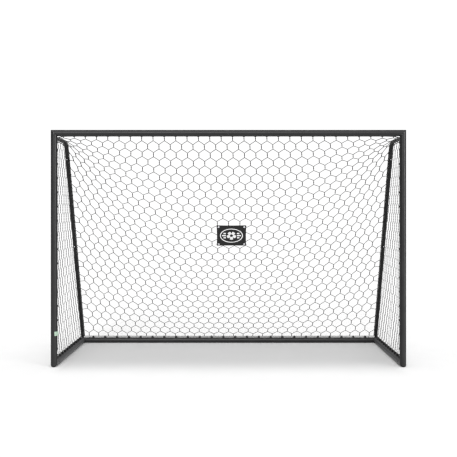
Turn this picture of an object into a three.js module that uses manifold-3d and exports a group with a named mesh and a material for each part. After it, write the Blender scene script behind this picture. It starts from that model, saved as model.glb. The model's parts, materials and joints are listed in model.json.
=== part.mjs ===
// A free-standing garden soccer goal, 3 m wide, 2 m high and 1.2 m deep, in millimetres, +Z up.
// Mitred round tubes make the frame, two bent stays carry the net, and a banner hangs on the net.
// The origin is on the ground, in the middle of the footprint. +X is to the right for someone who
// looks into the goal, and +Y points from the goal mouth to the back.
import * as THREE from "three";
import { mergeVertices } from "three/addons/utils/BufferGeometryUtils.js";
import Module from "manifold-3d";

// Overall size and main tube
const WIDTH = 3000;
const HEIGHT = 2000;
const DEPTH = 1200;
const TUBE_R = 27;
const TUBE_WALL = 1.5;
const TUBE_SIDES = 32;

// Inner connectors and sleeves of the main tube
const GAP = 0.3;
const INSERT_R = TUBE_R - TUBE_WALL - 2 * GAP;
const INSERT_WALL = 4;
const INSERT_SIDES = 16;
const CONNECTOR_LEG = 100;
const CORNER_SCREW_AT = 75;
const SLEEVE_HALF = 140;
const SLEEVE_SCREW_AT = 60;
const MITRE_OVERLAP = 0.05;

// Button-head screw
const SCREW_R = 3;
const SCREW_LENGTH = 11;
const SCREW_HEAD_R = 5.5;
const SCREW_HEAD_H = 3.2;
const SCREW_HEX_R = 2.3;
const SCREW_HEX_DEPTH = 1.8;
const DRILL_R = SCREW_R + GAP;
const DRILL_SIDES = 12;

// Stay tube: a level run behind the post, a knee, and a long slope down to the rear corner
const STAY_R = 15;
const STAY_WALL = 1.5;
const STAY_SIDES = 16;
const KNEE_BACK = 422;
const KNEE_Z = 1935;
const KNEE_BEND_R = 100;
const KNEE_STEPS = 7;
const STAY_END_Z = 74;
const BRACKET_COLLAR = 45;
const STUB_LENGTH = 55;
const BRACKET_SCREW_AT = 75;
const FOOT_COLLAR = 44;

// Plug joints of the stay, measured down the slope from the corner of the knee
const UPPER_JOINT = 120;
const LOWER_JOINT = 985;
const PLUG_R = STAY_R - STAY_WALL - GAP;
const PLUG_LENGTH = 70;
const PLUG_ROOT = 4;
const BUTTON_AT = 35;

// Spring snap button
const BUTTON_R = 4;
const BUTTON_PROUD = 3.6;
const BUTTON_FLANGE_R = 5.2;
const BUTTON_SEAT = 10.2;
const BUTTON_FLANGE_H = 1;
const BUTTON_DOME_H = 1.4;
const LEAF_WIDTH = 8;
const LEAF_THICKNESS = 1;
const LEAF_TIP = -8;
const LEAF_BEND = 30;
const LEAF_FAR = -10.4;

// Net and banner
const NET_THICKNESS = 4;
const NET_CLEAR = 6;
const NET_TOP_Z = 1950;
const NET_TOP_BACK = 30;
const NET_SAG = 130;
const NET_SIDE_PULL = 2.2;
const NET_COLUMNS = 16;
const NET_ROWS = 14;
const BANNER_WIDTH = 264;
const BANNER_HEIGHT = 210;
const BANNER_THICKNESS = 2;
const BANNER_CORNER_R = 8;
const BANNER_X = 24;
const BANNER_DOWN = 0.4175;
const BANNER_OFFSET = 6.5;
const EYELET_INSET = 16;
const EYELET_BORE = 4;
const EYELET_BARREL = 5.5;
const EYELET_FLANGE = 9;
const EYELET_HALF = 2.1;
const EYELET_LIP = 0.8;

const POST_X = WIDTH / 2 - TUBE_R;
const FRONT_Y = -DEPTH / 2 + TUBE_R;
const REAR_Y = DEPTH / 2 - TUBE_R;
const CROSSBAR_Z = HEIGHT - TUBE_R;
const GROUND_Z = TUBE_R;
const KNEE_Y = FRONT_Y + KNEE_BACK;
const NONE = new THREE.Vector3();
const RIGHT = new THREE.Vector3(1, 0, 0);
const BACK = new THREE.Vector3(0, 1, 0);
const FORWARD = new THREE.Vector3(0, -1, 0);
const UP = new THREE.Vector3(0, 0, 1);
const DOWN = new THREE.Vector3(0, 0, -1);

const powderCoat = new THREE.MeshStandardMaterial({ color: 0x1c1c1e, roughness: 0.45, metalness: 0.1 });
const stayCoat = new THREE.MeshStandardMaterial({ color: 0x121213, roughness: 0.4, metalness: 0.1 });
const zincSteel = new THREE.MeshStandardMaterial({ color: 0x8d9093, roughness: 0.35, metalness: 0.9 });
const blackSteel = new THREE.MeshStandardMaterial({ color: 0x161617, roughness: 0.4, metalness: 0.6 });
const stainless = new THREE.MeshStandardMaterial({ color: 0xd4d6d8, roughness: 0.25, metalness: 1 });
const netCord = new THREE.MeshStandardMaterial({ color: 0x202020, roughness: 0.8, metalness: 0 });
const bannerCloth = new THREE.MeshStandardMaterial({ color: 0x151516, roughness: 0.7, metalness: 0 });

// ---- Solids -------------------------------------------------------------------------------

const wasm = await Module();
wasm.setup();

function solid(geometry) {
  const bare = geometry.clone();
  bare.deleteAttribute("normal");
  bare.deleteAttribute("uv");
  const merged = mergeVertices(bare, 1e-4);
  const mesh = new wasm.Mesh({
    numProp: 3,
    vertProperties: merged.attributes.position.array,
    triVerts: new Uint32Array(merged.index.array),
  });
  return new wasm.Manifold(mesh);
}

function geometryOf(manifold) {
  const mesh = manifold.getMesh();
  const indexed = new THREE.BufferGeometry();
  indexed.setAttribute("position", new THREE.BufferAttribute(mesh.vertProperties, mesh.numProp));
  indexed.setIndex(new THREE.BufferAttribute(mesh.triVerts, 1));
  const flat = indexed.toNonIndexed();
  flat.computeVertexNormals();
  return flat;
}

const join = (first, ...others) =>
  geometryOf(others.reduce((whole, other) => whole.add(solid(other)), solid(first)));

const cut = (body, ...cutters) =>
  geometryOf(cutters.reduce((rest, cutter) => rest.subtract(solid(cutter)), solid(body)));

// Corners of a regular polygon drawn round a circle, with a flat side on each axis.
function polygonRound(radius, sides) {
  const step = (2 * Math.PI) / sides;
  const cornerR = radius / Math.cos(step / 2);
  return Array.from({ length: sides }, (_, i) =>
    new THREE.Vector2(Math.cos((i + 0.5) * step), Math.sin((i + 0.5) * step)).multiplyScalar(cornerR),
  );
}

function roundSection(outer, inner, sides) {
  const shape = new THREE.Shape(polygonRound(outer, sides));
  if (inner > 0) shape.holes.push(new THREE.Path(polygonRound(inner, sides)));
  return shape;
}

// The frame of a straight bar: z runs along it, y is the given direction across it.
function barFrame(along, across) {
  return new THREE.Matrix4().makeBasis(new THREE.Vector3().crossVectors(across, along), across, along);
}

// A straight bar or tube from the origin along a direction. At a mitred end it meets a second bar,
// which leaves the corner in the direction startLeg or endLeg; a square end has no such direction.
function bar({ along, across = UP, length, outer, inner = 0, sides, startLeg = NONE, endLeg = NONE,
  startGap = 0, endGap = 0 }) {
  const geometry = new THREE.ExtrudeGeometry(roundSection(outer, inner, sides), {
    depth: length,
    bevelEnabled: false,
    steps: 1,
  });
  geometry.applyMatrix4(barFrame(along, across));
  const point = new THREE.Vector3();
  const position = geometry.attributes.position;
  for (let i = 0; i < position.count; i++) {
    point.fromBufferAttribute(position, i);
    const atStart = point.dot(along) < length / 2;
    const shift = atStart ? startGap + point.dot(startLeg) : -endGap - point.dot(endLeg);
    point.addScaledVector(along, shift);
    position.setXYZ(i, point.x, point.y, point.z);
  }
  return geometry;
}

// A drill bit from a point on a tube's axis out through its wall.
function drillBit(point, facing, radius, reach = 2 * TUBE_R) {
  const bit = new THREE.CylinderGeometry(radius, radius, reach, DRILL_SIDES);
  bit.translate(0, reach / 2, 0);
  bit.applyQuaternion(new THREE.Quaternion().setFromUnitVectors(BACK, facing));
  return bit.translate(point.x, point.y, point.z);
}

// A ring or a pin turned about z from its section, given as [radius, z] pairs.
function turned(section, sides) {
  const points = section.map(([radius, z]) => new THREE.Vector2(radius / Math.cos(Math.PI / sides), z));
  const geometry = new THREE.LatheGeometry(points, sides, Math.PI / sides);
  return geometry.rotateX(Math.PI / 2);
}

const tubeSection = (inner, outer, z0, z1) => [
  [inner, z0],
  [outer, z0],
  [outer, z1],
  [inner, z1],
  [inner, z0],
];

const goal = new THREE.Group();

function addMesh(parent, name, geometry, material, position = NONE) {
  const mesh = new THREE.Mesh(geometry, material);
  mesh.name = name;
  mesh.position.copy(position);
  parent.add(mesh);
  return mesh;
}

// ---- Screws -------------------------------------------------------------------------------

const screwGeometry = (() => {
  const crownR = SCREW_HEAD_R * 0.55;
  const body = turned(
    [
      [0, -SCREW_LENGTH],
      [SCREW_R, -SCREW_LENGTH],
      [SCREW_R, 0],
      [SCREW_HEAD_R, 0],
      [crownR, SCREW_HEAD_H],
      [0, SCREW_HEAD_H],
    ],
    DRILL_SIDES,
  );
  const hex = new THREE.CylinderGeometry(SCREW_HEX_R, SCREW_HEX_R, 2 * SCREW_HEX_DEPTH, 6);
  hex.rotateX(Math.PI / 2);
  hex.translate(0, 0, SCREW_HEAD_H);
  return cut(body, hex);
})();

// A screw whose head rests on a tube of the given radius round the axis point.
function addScrew(parent, name, axisPoint, facing, radius) {
  const seat = axisPoint.clone().addScaledVector(facing, radius + GAP);
  const screw = addMesh(parent, name, screwGeometry, blackSteel, seat);
  screw.quaternion.setFromUnitVectors(UP, facing);
}

// ---- Main frame ---------------------------------------------------------------------------

// A main tube from a corner. Each end is mitred to a leg or, at a splice, cut square.
function addFrameTube({ name, corner, along, across, length, startLeg, endLeg, holes }) {
  const tube = bar({
    along, across, length, startLeg, endLeg,
    outer: TUBE_R,
    inner: TUBE_R - TUBE_WALL,
    sides: TUBE_SIDES,
    startGap: GAP,
    endGap: endLeg ? GAP : GAP / 2,
  });
  const bits = holes.map(([distance, facing]) =>
    drillBit(along.clone().multiplyScalar(distance), facing, DRILL_R),
  );
  addMesh(goal, name, cut(tube, ...bits), powderCoat, corner);
}

// An L-shaped inner connector, with a screw hole in each leg.
function addConnector(name, corner, [first, second], facing) {
  const leg = (along, startLeg, startGap) =>
    bar({
      along, startLeg, startGap,
      across: facing,
      length: CONNECTOR_LEG,
      outer: INSERT_R,
      inner: INSERT_R - INSERT_WALL,
      sides: INSERT_SIDES,
    });
  const bent = join(leg(first, second, -MITRE_OVERLAP), leg(second, first, 0));
  const bits = [first, second].map((along) =>
    drillBit(along.clone().multiplyScalar(CORNER_SCREW_AT), facing, DRILL_R),
  );
  addMesh(goal, name, cut(bent, ...bits), zincSteel, corner);
}

// The sleeve that joins two half bars in the middle of the goal, with its two screws.
function addSplice(name, centre, facing) {
  const sleeve = bar({
    along: RIGHT,
    length: 2 * SLEEVE_HALF,
    outer: INSERT_R,
    inner: INSERT_R - INSERT_WALL,
    sides: INSERT_SIDES,
  }).translate(-SLEEVE_HALF, 0, 0);
  const screwX = [-SLEEVE_SCREW_AT, SLEEVE_SCREW_AT];
  const bits = screwX.map((x) => drillBit(new THREE.Vector3(x, 0, 0), facing, DRILL_R));
  addMesh(goal, name, cut(sleeve, ...bits), zincSteel, centre);
  screwX.forEach((x, i) => {
    const end = ["left", "right"][i];
    addScrew(goal, `${name}_screw_${end}`, centre.clone().setX(x), facing, TUBE_R);
  });
}

function addFrameSide(side, sign) {
  const inward = new THREE.Vector3(-sign, 0, 0);
  const corners = {
    top: { at: new THREE.Vector3(sign * POST_X, FRONT_Y, CROSSBAR_Z), legs: [DOWN, inward], facing: BACK },
    front: { at: new THREE.Vector3(sign * POST_X, FRONT_Y, GROUND_Z), legs: [UP, BACK], facing: inward },
    rear: { at: new THREE.Vector3(sign * POST_X, REAR_Y, GROUND_Z), legs: [FORWARD, inward], facing: UP },
  };
  const { top, front, rear } = corners;
  const postLength = CROSSBAR_Z - GROUND_Z;
  const groundLength = REAR_Y - FRONT_Y;
  addFrameTube({
    name: `${side}_post`,
    corner: front.at,
    along: UP,
    across: BACK,
    length: postLength,
    startLeg: BACK,
    endLeg: inward,
    holes: [[CORNER_SCREW_AT, front.facing], [postLength - CORNER_SCREW_AT, top.facing]],
  });
  addFrameTube({
    name: `${side}_ground_bar`,
    corner: front.at,
    along: BACK,
    across: UP,
    length: groundLength,
    startLeg: UP,
    endLeg: inward,
    holes: [[CORNER_SCREW_AT, front.facing], [groundLength - CORNER_SCREW_AT, rear.facing]],
  });
  for (const [name, corner, startLeg] of [["crossbar", top, DOWN], ["rear_bar", rear, FORWARD]]) {
    addFrameTube({
      name: `${name}_${side}`,
      corner: corner.at,
      along: inward,
      across: UP,
      length: POST_X,
      startLeg,
      holes: [[CORNER_SCREW_AT, corner.facing], [POST_X - SLEEVE_SCREW_AT, corner.facing]],
    });
  }
  for (const [place, { at, legs, facing }] of Object.entries(corners)) {
    addConnector(`${side}_${place}_connector`, at, legs, facing);
    legs.forEach((leg, i) => {
      const axisPoint = at.clone().addScaledVector(leg, CORNER_SCREW_AT);
      addScrew(goal, `${side}_${place}_screw_${i + 1}`, axisPoint, facing, TUBE_R);
    });
  }
}

addFrameSide("left", -1);
addFrameSide("right", 1);
addSplice("crossbar_splice", new THREE.Vector3(0, FRONT_Y, CROSSBAR_Z), BACK);
addSplice("rear_bar_splice", new THREE.Vector3(0, REAR_Y, GROUND_Z), UP);

// ---- Stays --------------------------------------------------------------------------------

// The slope of the stay, as a frame in the plane x = 0: z runs down the tube from the corner of
// the knee, and y faces forward and down, into the goal.
const knee = new THREE.Vector3(0, KNEE_Y, KNEE_Z);
const slope = new THREE.Vector3(0, REAR_Y - KNEE_Y, STAY_END_Z - KNEE_Z);
const SLOPE_LENGTH = slope.length();
slope.normalize();
const slopeAngle = Math.atan2(-slope.y, slope.z);
const slopeFrame = new THREE.Matrix4().makeRotationX(slopeAngle).setPosition(knee);
const inFront = new THREE.Vector3(0, Math.cos(slopeAngle), Math.sin(slopeAngle));
const kneeTurn = Math.acos(slope.y);
const BEND_START = KNEE_BEND_R * Math.tan(kneeTurn / 2);
const bendCentre = new THREE.Vector2(KNEE_Y - BEND_START, KNEE_Z - KNEE_BEND_R);

// A path that an extrusion samples only at its own stations.
class StationPath extends THREE.Curve {
  constructor(stations) {
    super();
    this.stations = stations;
  }
  station(t) {
    return this.stations[Math.round(t * (this.stations.length - 1))];
  }
  getPoint(t, target = new THREE.Vector3()) {
    return target.copy(this.station(t).point);
  }
  getTangent(t, target = new THREE.Vector3()) {
    return target.copy(this.station(t).tangent);
  }
  getUtoTmapping(u) {
    return u;
  }
}

function elbowPath(startY) {
  const level = { point: new THREE.Vector3(0, startY, KNEE_Z), tangent: BACK };
  const bend = Array.from({ length: KNEE_STEPS + 1 }, (_, i) => {
    const turn = (kneeTurn * i) / KNEE_STEPS;
    const sin = Math.sin(turn);
    const cos = Math.cos(turn);
    return {
      point: new THREE.Vector3(0, bendCentre.x + KNEE_BEND_R * sin, bendCentre.y + KNEE_BEND_R * cos),
      tangent: new THREE.Vector3(0, cos, -sin),
    };
  });
  const end = { point: knee.clone().addScaledVector(slope, UPPER_JOINT), tangent: slope };
  return new StationPath([level, ...bend, end]);
}

// The reduced end of a stay tube, which plugs into the next tube, with its button hole.
function plugEnd(shoulder) {
  const bore = PLUG_R - STAY_WALL;
  const root = shoulder - PLUG_ROOT;
  const plug = turned(
    [
      [bore, root],
      [STAY_R - STAY_WALL / 2, root],
      [STAY_R - STAY_WALL / 2, shoulder - 1],
      [PLUG_R, shoulder - 1],
      [PLUG_R, shoulder + PLUG_LENGTH],
      [bore, shoulder + PLUG_LENGTH],
      [bore, root],
    ],
    STAY_SIDES,
  );
  return cut(plug, buttonHole(shoulder));
}

const buttonHole = (shoulder) =>
  drillBit(new THREE.Vector3(0, 0, shoulder + BUTTON_AT), BACK, BUTTON_R + GAP);

// A straight stay tube between two distances down the slope.
const stayTube = (z0, z1) => turned(tubeSection(STAY_R - STAY_WALL, STAY_R, z0, z1), STAY_SIDES);

const buttonGeometry = (() => {
  const reach = STAY_R + BUTTON_PROUD - BUTTON_SEAT;
  const pin = turned(
    [
      [0, -BUTTON_FLANGE_H],
      [BUTTON_FLANGE_R, -BUTTON_FLANGE_H],
      [BUTTON_FLANGE_R, 0],
      [BUTTON_R, 0],
      [BUTTON_R, reach - BUTTON_DOME_H],
      [BUTTON_R * 0.8, reach - BUTTON_DOME_H * 0.35],
      [BUTTON_R * 0.45, reach],
      [0, reach],
    ],
    DRILL_SIDES,
  );
  return pin.rotateX(-Math.PI / 2);
})();

// The V spring behind a button: one arm bears on the button, the other on the far wall.
const leafGeometry = (() => {
  const near = BUTTON_SEAT - BUTTON_FLANGE_H - GAP;
  const middle = (near + LEAF_FAR) / 2;
  const outline = new THREE.Shape([
    new THREE.Vector2(near, LEAF_TIP),
    new THREE.Vector2(middle, LEAF_BEND),
    new THREE.Vector2(LEAF_FAR, LEAF_TIP),
    new THREE.Vector2(LEAF_FAR + LEAF_THICKNESS, LEAF_TIP),
    new THREE.Vector2(middle, LEAF_BEND - 4 * LEAF_THICKNESS),
    new THREE.Vector2(near - LEAF_THICKNESS, LEAF_TIP),
  ]);
  const leaf = new THREE.ExtrudeGeometry(outline, { depth: LEAF_WIDTH, bevelEnabled: false });
  leaf.translate(0, 0, -LEAF_WIDTH / 2);
  const yzx = new THREE.Matrix4().makeBasis(BACK, UP, RIGHT);
  return leaf.applyMatrix4(yzx);
})();

function addStay(side, sign) {
  const inward = new THREE.Vector3(-sign, 0, 0);
  const outward = new THREE.Vector3(sign, 0, 0);
  const plane = new THREE.Group();
  plane.position.x = sign * POST_X;
  goal.add(plane);
  const line = new THREE.Group();
  line.applyMatrix4(slopeFrame);
  plane.add(line);

  // The bracket on the post: a coped collar with a stub for the elbow.
  const stubBore = PLUG_R - 2 * STAY_WALL;
  const post = bar({
    along: UP, across: BACK, length: HEIGHT, outer: TUBE_R + GAP, sides: TUBE_SIDES,
  }).translate(0, FRONT_Y, 0);
  const bracketSection = [
    [stubBore, 0],
    [STAY_R, 0],
    [STAY_R, BRACKET_COLLAR],
    [PLUG_R, BRACKET_COLLAR],
    [PLUG_R, BRACKET_COLLAR + STUB_LENGTH],
    [stubBore, BRACKET_COLLAR + STUB_LENGTH],
    [stubBore, 0],
  ];
  const bracketBody = turned(bracketSection, STAY_SIDES)
    .applyMatrix4(barFrame(BACK, UP))
    .translate(0, FRONT_Y, KNEE_Z);
  const bracketScrewPoint = new THREE.Vector3(0, FRONT_Y + BRACKET_SCREW_AT, KNEE_Z);
  const bracketHole = drillBit(bracketScrewPoint, outward, DRILL_R);
  addMesh(plane, `${side}_stay_bracket`, cut(bracketBody, post, bracketHole), powderCoat);
  addScrew(plane, `${side}_stay_bracket_screw`, bracketScrewPoint, outward, STAY_R);

  // The elbow: level run, knee and the first plug.
  const path = elbowPath(FRONT_Y + BRACKET_COLLAR + GAP);
  const section = roundSection(STAY_R, STAY_R - STAY_WALL, STAY_SIDES);
  const bentTube = new THREE.ExtrudeGeometry(section, {
    steps: path.stations.length - 1,
    extrudePath: path,
    bevelEnabled: false,
  });
  const elbowPlug = plugEnd(UPPER_JOINT).applyMatrix4(slopeFrame);
  addMesh(plane, `${side}_stay_elbow`, join(cut(bentTube, bracketHole), elbowPlug), stayCoat);

  // The two straight lengths below it, and the foot on the rear corner.
  const collarTop = SLOPE_LENGTH - FOOT_COLLAR;
  const middle = cut(stayTube(UPPER_JOINT + GAP, LOWER_JOINT), buttonHole(UPPER_JOINT));
  addMesh(line, `${side}_stay_middle`, join(middle, plugEnd(LOWER_JOINT)), stayCoat);
  const lower = cut(stayTube(LOWER_JOINT + GAP, collarTop - GAP), buttonHole(LOWER_JOINT));
  addMesh(line, `${side}_stay_lower`, lower, stayCoat);

  const ends = { outer: TUBE_R + GAP, sides: TUBE_SIDES, startGap: -MITRE_OVERLAP };
  const rearCorner = new THREE.Vector3(0, REAR_Y, GROUND_Z);
  const coping = [
    bar({ ...ends, along: FORWARD, length: DEPTH / 2, startLeg: inward }),
    bar({ ...ends, along: inward, length: DEPTH / 2, startLeg: FORWARD }),
  ].map((shape) => shape.translate(rearCorner.x, rearCorner.y, rearCorner.z));
  const footBody = turned(
    [
      [stubBore, collarTop - STUB_LENGTH],
      [stubBore, SLOPE_LENGTH + TUBE_R],
      [STAY_R, SLOPE_LENGTH + TUBE_R],
      [STAY_R, collarTop],
      [PLUG_R, collarTop],
      [PLUG_R, collarTop - STUB_LENGTH],
      [stubBore, collarTop - STUB_LENGTH],
    ].reverse(),
    STAY_SIDES,
  ).applyMatrix4(slopeFrame);
  addMesh(plane, `${side}_stay_foot`, cut(footBody, ...coping), powderCoat);

  for (const [level, shoulder] of [["upper", UPPER_JOINT], ["lower", LOWER_JOINT]]) {
    const centre = new THREE.Vector3(0, 0, shoulder + BUTTON_AT);
    const seat = centre.clone().setY(BUTTON_SEAT);
    addMesh(line, `${side}_${level}_snap_button`, buttonGeometry, stainless, seat);
    addMesh(line, `${side}_${level}_snap_spring`, leafGeometry, stainless, centre);
  }
}

addStay("left", -1);
addStay("right", 1);

// ---- Nets ---------------------------------------------------------------------------------

// A side net fills the flat space between post, ground bar and stay.
function sideNetOutline() {
  const inset = STAY_R + NET_CLEAR;
  const frontY = FRONT_Y + TUBE_R + NET_CLEAR;
  const bottomZ = GROUND_Z + TUBE_R + NET_CLEAR;
  const edge = knee.clone().addScaledVector(inFront, inset);
  const reach = (bottomZ - edge.z) / slope.z;
  const outline = new THREE.Shape();
  outline.moveTo(frontY, bottomZ);
  outline.lineTo(edge.y + slope.y * reach, bottomZ);
  const slopeNormal = Math.atan2(-inFront.z, -inFront.y);
  outline.absarc(bendCentre.x, bendCentre.y, KNEE_BEND_R - inset, slopeNormal, Math.PI / 2, false);
  outline.lineTo(frontY, KNEE_Z - inset);
  return outline;
}

function addSideNet(side, sign) {
  const slab = new THREE.ExtrudeGeometry(sideNetOutline(), {
    depth: NET_THICKNESS,
    bevelEnabled: false,
    curveSegments: KNEE_STEPS,
  });
  slab.translate(0, 0, -NET_THICKNESS / 2);
  slab.applyMatrix4(new THREE.Matrix4().makeBasis(BACK, UP, RIGHT));
  addMesh(goal, `${side}_side_net`, slab, netCord, new THREE.Vector3(sign * POST_X, 0, 0));
}

addSideNet("left", -1);
addSideNet("right", 1);

// The back net hangs from the crossbar and the stays to the rear bar. Beside the stays it follows
// their knee; in the middle it sags in a parabola.
const netHalfWidth = POST_X - STAY_R - NET_CLEAR;
const netTopY = FRONT_Y + NET_TOP_BACK;
const netBottom = new THREE.Vector2(REAR_Y - NET_CLEAR, GROUND_Z + TUBE_R + NET_CLEAR + NET_THICKNESS);

function sideProfile() {
  const path = new THREE.Path();
  path.moveTo(netTopY, KNEE_Z);
  path.lineTo(bendCentre.x, KNEE_Z);
  path.absarc(bendCentre.x, bendCentre.y, KNEE_BEND_R, Math.PI / 2, Math.PI / 2 - kneeTurn, true);
  path.lineTo(netBottom.x, netBottom.y);
  return path;
}

function middleProfile() {
  const top = new THREE.Vector2(netTopY, NET_TOP_Z);
  const chord = netBottom.clone().sub(top);
  const below = new THREE.Vector2(chord.y, -chord.x).normalize();
  const control = top.clone().addScaledVector(chord, 0.5).addScaledVector(below, 2 * NET_SAG);
  return new THREE.QuadraticBezierCurve(top, control, netBottom);
}

const netSide = sideProfile();
const netMiddle = middleProfile();

function netPoint(across, down) {
  const atSide = netSide.getPointAt(down);
  const inMiddle = netMiddle.getPointAt(down);
  const point = inMiddle.lerp(atSide, Math.abs(across) ** NET_SIDE_PULL);
  return new THREE.Vector3(across * netHalfWidth, point.x, point.y);
}

// The net's normal, which points to the front and down, into the goal.
function netNormal(across, down) {
  const step = 0.01;
  const alongRow = netPoint(across + step, down).sub(netPoint(across - step, down));
  const from = Math.max(down - step, 0);
  const to = Math.min(down + step, 1);
  const downColumn = netPoint(across, to).sub(netPoint(across, from));
  return downColumn.cross(alongRow).normalize();
}

function addBackNet() {
  const sheet = new THREE.BoxGeometry(2, 1, NET_THICKNESS, NET_COLUMNS, NET_ROWS, 1);
  const position = sheet.attributes.position;
  for (let i = 0; i < position.count; i++) {
    const across = position.getX(i);
    const down = 0.5 - position.getY(i);
    const point = netPoint(across, down).addScaledVector(netNormal(across, down), position.getZ(i));
    position.setXYZ(i, point.x, point.y, point.z);
  }
  addMesh(goal, "back_net", sheet, netCord);
}

addBackNet();

// ---- Banner -------------------------------------------------------------------------------

function roundedRectangle(width, height, radius) {
  const shape = new THREE.Shape();
  const corners = [[1, 1], [-1, 1], [-1, -1], [1, -1]];
  corners.forEach(([x, y], i) => {
    const centreX = x * (width / 2 - radius);
    const centreY = y * (height / 2 - radius);
    shape.absarc(centreX, centreY, radius, (i * Math.PI) / 2, ((i + 1) * Math.PI) / 2, false);
  });
  return shape;
}

function addBanner() {
  const across = BANNER_X / netHalfWidth;
  const normal = netNormal(across, BANNER_DOWN);
  const banner = new THREE.Group();
  const upward = new THREE.Vector3().crossVectors(normal, RIGHT).normalize();
  const levelRight = new THREE.Vector3().crossVectors(upward, normal);
  banner.applyMatrix4(new THREE.Matrix4().makeBasis(levelRight, upward, normal));
  banner.position.copy(netPoint(across, BANNER_DOWN)).addScaledVector(normal, BANNER_OFFSET);
  goal.add(banner);

  const cloth = roundedRectangle(BANNER_WIDTH, BANNER_HEIGHT, BANNER_CORNER_R);
  const eyeletX = BANNER_WIDTH / 2 - EYELET_INSET;
  const eyeletY = BANNER_HEIGHT / 2 - EYELET_INSET;
  const places = [[-1, 1], [1, 1], [-1, -1], [1, -1]].map(([x, y]) => [x * eyeletX, y * eyeletY]);
  for (const [x, y] of places) {
    const hole = polygonRound(EYELET_BARREL + GAP, DRILL_SIDES);
    cloth.holes.push(new THREE.Path(hole.map((corner) => corner.add(new THREE.Vector2(x, y)))));
  }
  const panel = new THREE.ExtrudeGeometry(cloth, {
    depth: BANNER_THICKNESS,
    bevelEnabled: false,
    curveSegments: 4,
  });
  addMesh(banner, "banner", panel.translate(0, 0, -BANNER_THICKNESS / 2), bannerCloth);

  const flange = EYELET_HALF - EYELET_LIP;
  const ring = turned(
    [
      [EYELET_BORE, -EYELET_HALF],
      [EYELET_FLANGE, -EYELET_HALF],
      [EYELET_FLANGE, -flange],
      [EYELET_BARREL, -flange],
      [EYELET_BARREL, flange],
      [EYELET_FLANGE, flange],
      [EYELET_FLANGE, EYELET_HALF],
      [EYELET_BORE, EYELET_HALF],
      [EYELET_BORE, -EYELET_HALF],
    ],
    DRILL_SIDES,
  );
  places.forEach(([x, y], i) =>
    addMesh(banner, `banner_eyelet_${i + 1}`, ring, stainless, new THREE.Vector3(x, y, 0)),
  );
}

addBanner();

export default goal;
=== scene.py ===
"""The looks of a garden soccer goal: coated steel tubes, a deep hexagonal net and a small banner."""

import json
import math

import bpy
import numpy as np
from mathutils import Matrix, Vector
from mathutils.geometry import delaunay_2d_cdt


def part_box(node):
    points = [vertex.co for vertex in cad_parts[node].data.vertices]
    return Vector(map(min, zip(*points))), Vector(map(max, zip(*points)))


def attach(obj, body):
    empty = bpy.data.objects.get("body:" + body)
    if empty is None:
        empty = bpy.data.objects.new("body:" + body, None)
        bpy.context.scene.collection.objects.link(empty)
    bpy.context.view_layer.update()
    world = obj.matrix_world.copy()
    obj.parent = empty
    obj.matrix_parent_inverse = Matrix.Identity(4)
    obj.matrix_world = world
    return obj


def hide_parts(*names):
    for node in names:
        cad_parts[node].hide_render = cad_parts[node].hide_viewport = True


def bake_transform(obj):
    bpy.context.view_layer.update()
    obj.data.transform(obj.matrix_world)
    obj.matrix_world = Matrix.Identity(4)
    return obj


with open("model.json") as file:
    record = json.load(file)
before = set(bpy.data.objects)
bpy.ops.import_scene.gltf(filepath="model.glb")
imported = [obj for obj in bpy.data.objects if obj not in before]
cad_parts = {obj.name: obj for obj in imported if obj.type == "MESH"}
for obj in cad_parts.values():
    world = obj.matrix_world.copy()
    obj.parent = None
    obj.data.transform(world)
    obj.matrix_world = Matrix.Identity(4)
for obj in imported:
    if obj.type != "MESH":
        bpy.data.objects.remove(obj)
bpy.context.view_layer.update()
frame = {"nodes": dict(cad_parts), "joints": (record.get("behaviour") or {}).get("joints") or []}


# ---- Places, taken from the frame ----

def middle(node):
    low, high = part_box(node)
    return (low + high) / 2


def half_size(node):
    low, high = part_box(node)
    return (high - low) / 2


POST_X = middle("right_post").x
FRONT_Y = middle("right_post").y
REAR_Y = middle("rear_bar_left").y
GROUND_Z = middle("rear_bar_left").z
CROSSBAR_Z = middle("crossbar_left").z
TUBE_R = half_size("crossbar_left").z
STAY_R = half_size("left_stay_lower").x
KNEE_Z = middle("left_stay_bracket").z
KNEE_BEND_R = 0.100

press = Vector(frame["joints"][0]["axis"])
slope = Vector((0, press.z, -press.y))
into_goal = Vector((0, -press.y, -press.z))
on_slope = middle("left_stay_lower")
KNEE_Y = on_slope.y + (KNEE_Z - on_slope.z) * slope.y / slope.z

ROPE_R = 0.0040
SIDE_ROPE_R = 0.0024
ROPE_LAY = 0.030
# Edge ropes keep about this distance from the axis of the tube that they are clipped to.
ROPE_FROM_AXIS = 0.038
TOP_ROPE_BEHIND = 0.0309
TOP_ROPE_BELOW = 0.0221
REAR_ROPE_BEFORE = 0.006
BACK_ROPE_FROM_STAY = 0.0200
SIDE_ROPE_FROM_STAY = 0.0205
SIDE_ROPE_OUTWARD = 0.009

# Hexagonal netting: slanted single yarns, and uprights in which two yarns twist round each other.
NET_COLUMNS = 30
NET_ROWS = 31
SLANT_LENGTH = 0.0550
UPRIGHT_LENGTH = 0.0384
YARN_R = 0.0025
YARN_TWIST_R = 0.0022
SIDE_YARN_R = 0.0016
SIDE_COLUMN = 0.0486
SIDE_ROW = 0.080
SIDE_UPRIGHT = 0.050

LACE_R = 0.0018
LACE_GAP = 0.0003
LACE_TURNS_BETWEEN_BUTTONS = 13
LACE_FROM_BRACKET, LACE_ABOVE_GROUND_BAR = 0.09, 0.10
SIDES = (("left", -1), ("right", 1))
LEVELS = ("upper", "lower")


# ---- Camera ----

def put_in_scene(name, data):
    made = bpy.data.objects.new(name, data)
    bpy.context.scene.collection.objects.link(made)
    return made


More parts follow.
